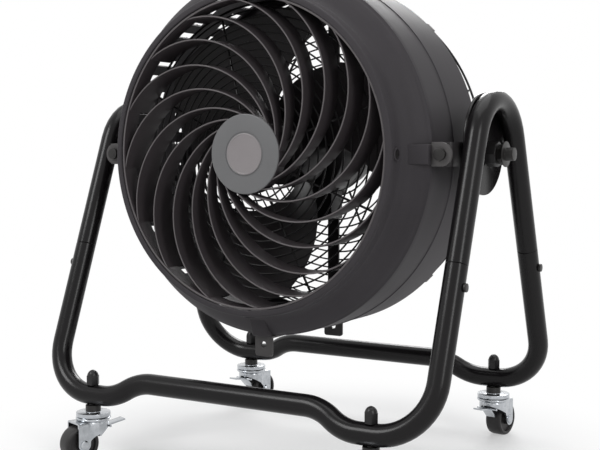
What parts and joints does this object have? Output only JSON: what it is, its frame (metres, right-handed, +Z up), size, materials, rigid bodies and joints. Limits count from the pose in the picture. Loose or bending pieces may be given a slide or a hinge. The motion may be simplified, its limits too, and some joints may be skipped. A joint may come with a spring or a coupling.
{
  "type": "drum fan",
  "caption": "Floor-standing drum fan: a flared round housing with a swept-vane grille that tilts in a bent-tube stand on braked swivel casters.",
  "frame": {"origin": "on the floor under the middle of the stand", "axes": "+Z up, -Y the way the fan blows, +X to the right seen from the front"},
  "size_m": [0.6318, 0.4908, 0.693],
  "materials": {
    "tube_paint": "satin black powder coat",
    "housing_plastic": "fine-grained dark grey moulding",
    "grille_plastic": "satin dark grey moulding",
    "cap_plastic": "satin grey",
    "badge_plastic": "bare satin grey",
    "guard_wire": "satin black",
    "blade_plastic": "satin black",
    "lug_steel": "dark grey paint",
    "black_steel": "black oxide",
    "zinc_steel": "bright zinc",
    "knob_plastic": "satin black",
    "wheel_plastic": "black",
    "motor_paint": "black paint",
    "core_steel": "bare laminations",
    "winding_copper": "enamelled wire",
    "friction_pad": "matt black fibre"
  },
  "bodies": {
    "stand": {"front_lower_frame": "tube_paint", "rear_lower_frame": "tube_paint", "left_hoop": "tube_paint", "right_hoop": "tube_paint", "splice_sleeves": "zinc_steel", "splice_screws": "black_steel", "caster_stems": "zinc_steel", "caster_cap_nuts": "knob_plastic", "left_pivot_plate": "tube_paint", "right_pivot_plate": "tube_paint"},
    "rotor": {"motor_shaft": "zinc_steel", "rotor_core": "core_steel", "hub_nut": "black_steel", "fan_blades": "blade_plastic"},
    "speed_knob": {"speed_knob": "knob_plastic"},
    "left_tilt_knob": {"left_tilt_knob": "knob_plastic"},
    "right_tilt_knob": {"right_tilt_knob": "knob_plastic"},
    "front_left_caster": {"front_left_caster_fork": "zinc_steel"},
    "front_left_wheel": {"front_left_caster_wheel": "wheel_plastic"},
    "front_left_pedal": {"front_left_brake_pedal": "zinc_steel"},
    "front_right_caster": {"front_right_caster_fork": "zinc_steel"},
    "front_right_wheel": {"front_right_caster_wheel": "wheel_plastic"},
    "front_right_pedal": {"front_right_brake_pedal": "zinc_steel"},
    "rear_left_caster": {"rear_left_caster_fork": "zinc_steel"},
    "rear_left_wheel": {"rear_left_caster_wheel": "wheel_plastic"},
    "rear_left_pedal": {"rear_left_brake_pedal": "zinc_steel"},
    "rear_right_caster": {"rear_right_caster_fork": "zinc_steel"},
    "rear_right_wheel": {"rear_right_caster_wheel": "wheel_plastic"},
    "rear_right_pedal": {"rear_right_brake_pedal": "zinc_steel"},
    "head": {"friction_washers": "friction_pad", "drum_housing": "housing_plastic", "front_grille": "grille_plastic", "grille_screws": "black_steel", "hub_cap": "cap_plastic", "hub_badge": "badge_plastic", "front_wire_guard": "guard_wire", "rear_wire_guard": "guard_wire", "rear_guard_clips": "black_steel", "motor_frame": "lug_steel", "rear_standoffs": "black_steel", "motor_shell": "motor_paint", "motor_front_cap": "motor_paint", "motor_rear_cap": "motor_paint", "motor_bearings": "zinc_steel", "stator_core": "core_steel", "stator_windings": "winding_copper", "capacitor_box": "knob_plastic", "control_box": "housing_plastic", "cable_gland": "knob_plastic", "speed_switch": "knob_plastic", "top_front_lug": "lug_steel", "right_front_lug": "lug_steel", "bottom_front_lug": "lug_steel", "left_front_lug": "lug_steel", "left_pivot_bracket": "black_steel", "left_pivot_bolt": "black_steel", "left_bracket_bolts": "black_steel", "right_pivot_bracket": "black_steel", "right_pivot_bolt": "black_steel", "right_bracket_bolts": "black_steel"}
  },
  "joints": [
    {"name": "head_tilt", "type": "hinge", "parent": "stand", "child": "head", "pos_m": [0, 0, 0.42], "axis": [1, 0, 0], "range_deg": [-90, 90]},
    {"name": "fan_spin", "type": "hinge", "parent": "head", "child": "rotor", "pos_m": [0, 0, 0.42], "axis": [0, 1, 0], "continuous": true},
    {"name": "speed_knob_turn", "type": "hinge", "parent": "head", "child": "speed_knob", "pos_m": [0, 0, 0.42], "axis": [0, -1, 0], "range_deg": [0, 270]},
    {"name": "left_tilt_knob_turn", "type": "hinge", "parent": "head", "child": "left_tilt_knob", "pos_m": [0, 0, 0.42], "axis": [-1, 0, 0], "range_deg": [0, 180]},
    {"name": "right_tilt_knob_turn", "type": "hinge", "parent": "head", "child": "right_tilt_knob", "pos_m": [0, 0, 0.42], "axis": [1, 0, 0], "range_deg": [0, 180]},
    {"name": "front_left_swivel", "type": "hinge", "parent": "stand", "child": "front_left_caster", "pos_m": [-0.215, -0.19777, 0.06], "axis": [0, 0, 1], "continuous": true},
    {"name": "front_left_roll", "type": "hinge", "parent": "front_left_caster", "child": "front_left_wheel", "pos_m": [-0.22252, -0.21844, 0.025], "axis": [0.9397, -0.342, 0], "continuous": true},
    {"name": "front_left_brake", "type": "hinge", "parent": "front_left_caster", "child": "front_left_pedal", "pos_m": [-0.20884, -0.18085, 0.0455], "axis": [-0.9397, 0.342, 0], "range_deg": [0, 18]},
    {"name": "front_right_swivel", "type": "hinge", "parent": "stand", "child": "front_right_caster", "pos_m": [0.215, -0.19777, 0.06], "axis": [0, 0, 1], "continuous": true},
    {"name": "front_right_roll", "type": "hinge", "parent": "front_right_caster", "child": "front_right_wheel", "pos_m": [0.20748, -0.21844, 0.025], "axis": [0.9397, -0.342, 0], "continuous": true},
    {"name": "front_right_brake", "type": "hinge", "parent": "front_right_caster", "child": "front_right_pedal", "pos_m": [0.22116, -0.18085, 0.0455], "axis": [-0.9397, 0.342, 0], "range_deg": [0, 18]},
    {"name": "rear_left_swivel", "type": "hinge", "parent": "stand", "child": "rear_left_caster", "pos_m": [-0.215, 0.19777, 0.06], "axis": [0, 0, 1], "continuous": true},
    {"name": "rear_left_roll", "type": "hinge", "parent": "rear_left_caster", "child": "rear_left_wheel", "pos_m": [-0.21194, 0.21956, 0.025], "axis": [-0.9903, 0.1392, 0], "continuous": true},
    {"name": "rear_left_brake", "type": "hinge", "parent": "rear_left_caster", "child": "rear_left_pedal", "pos_m": [-0.21751, 0.17994, 0.0455], "axis": [0.9903, -0.1392, 0], "range_deg": [0, 18]},
    {"name": "rear_right_swivel", "type": "hinge", "parent": "stand", "child": "rear_right_caster", "pos_m": [0.215, 0.19777, 0.06], "axis": [0, 0, 1], "continuous": true},
    {"name": "rear_right_roll", "type": "hinge", "parent": "rear_right_caster", "child": "rear_right_wheel", "pos_m": [0.21806, 0.21956, 0.025], "axis": [-0.9903, 0.1392, 0], "continuous": true},
    {"name": "rear_right_brake", "type": "hinge", "parent": "rear_right_caster", "child": "rear_right_pedal", "pos_m": [0.21249, 0.17994, 0.0455], "axis": [0.9903, -0.1392, 0], "range_deg": [0, 18]}
  ]
}
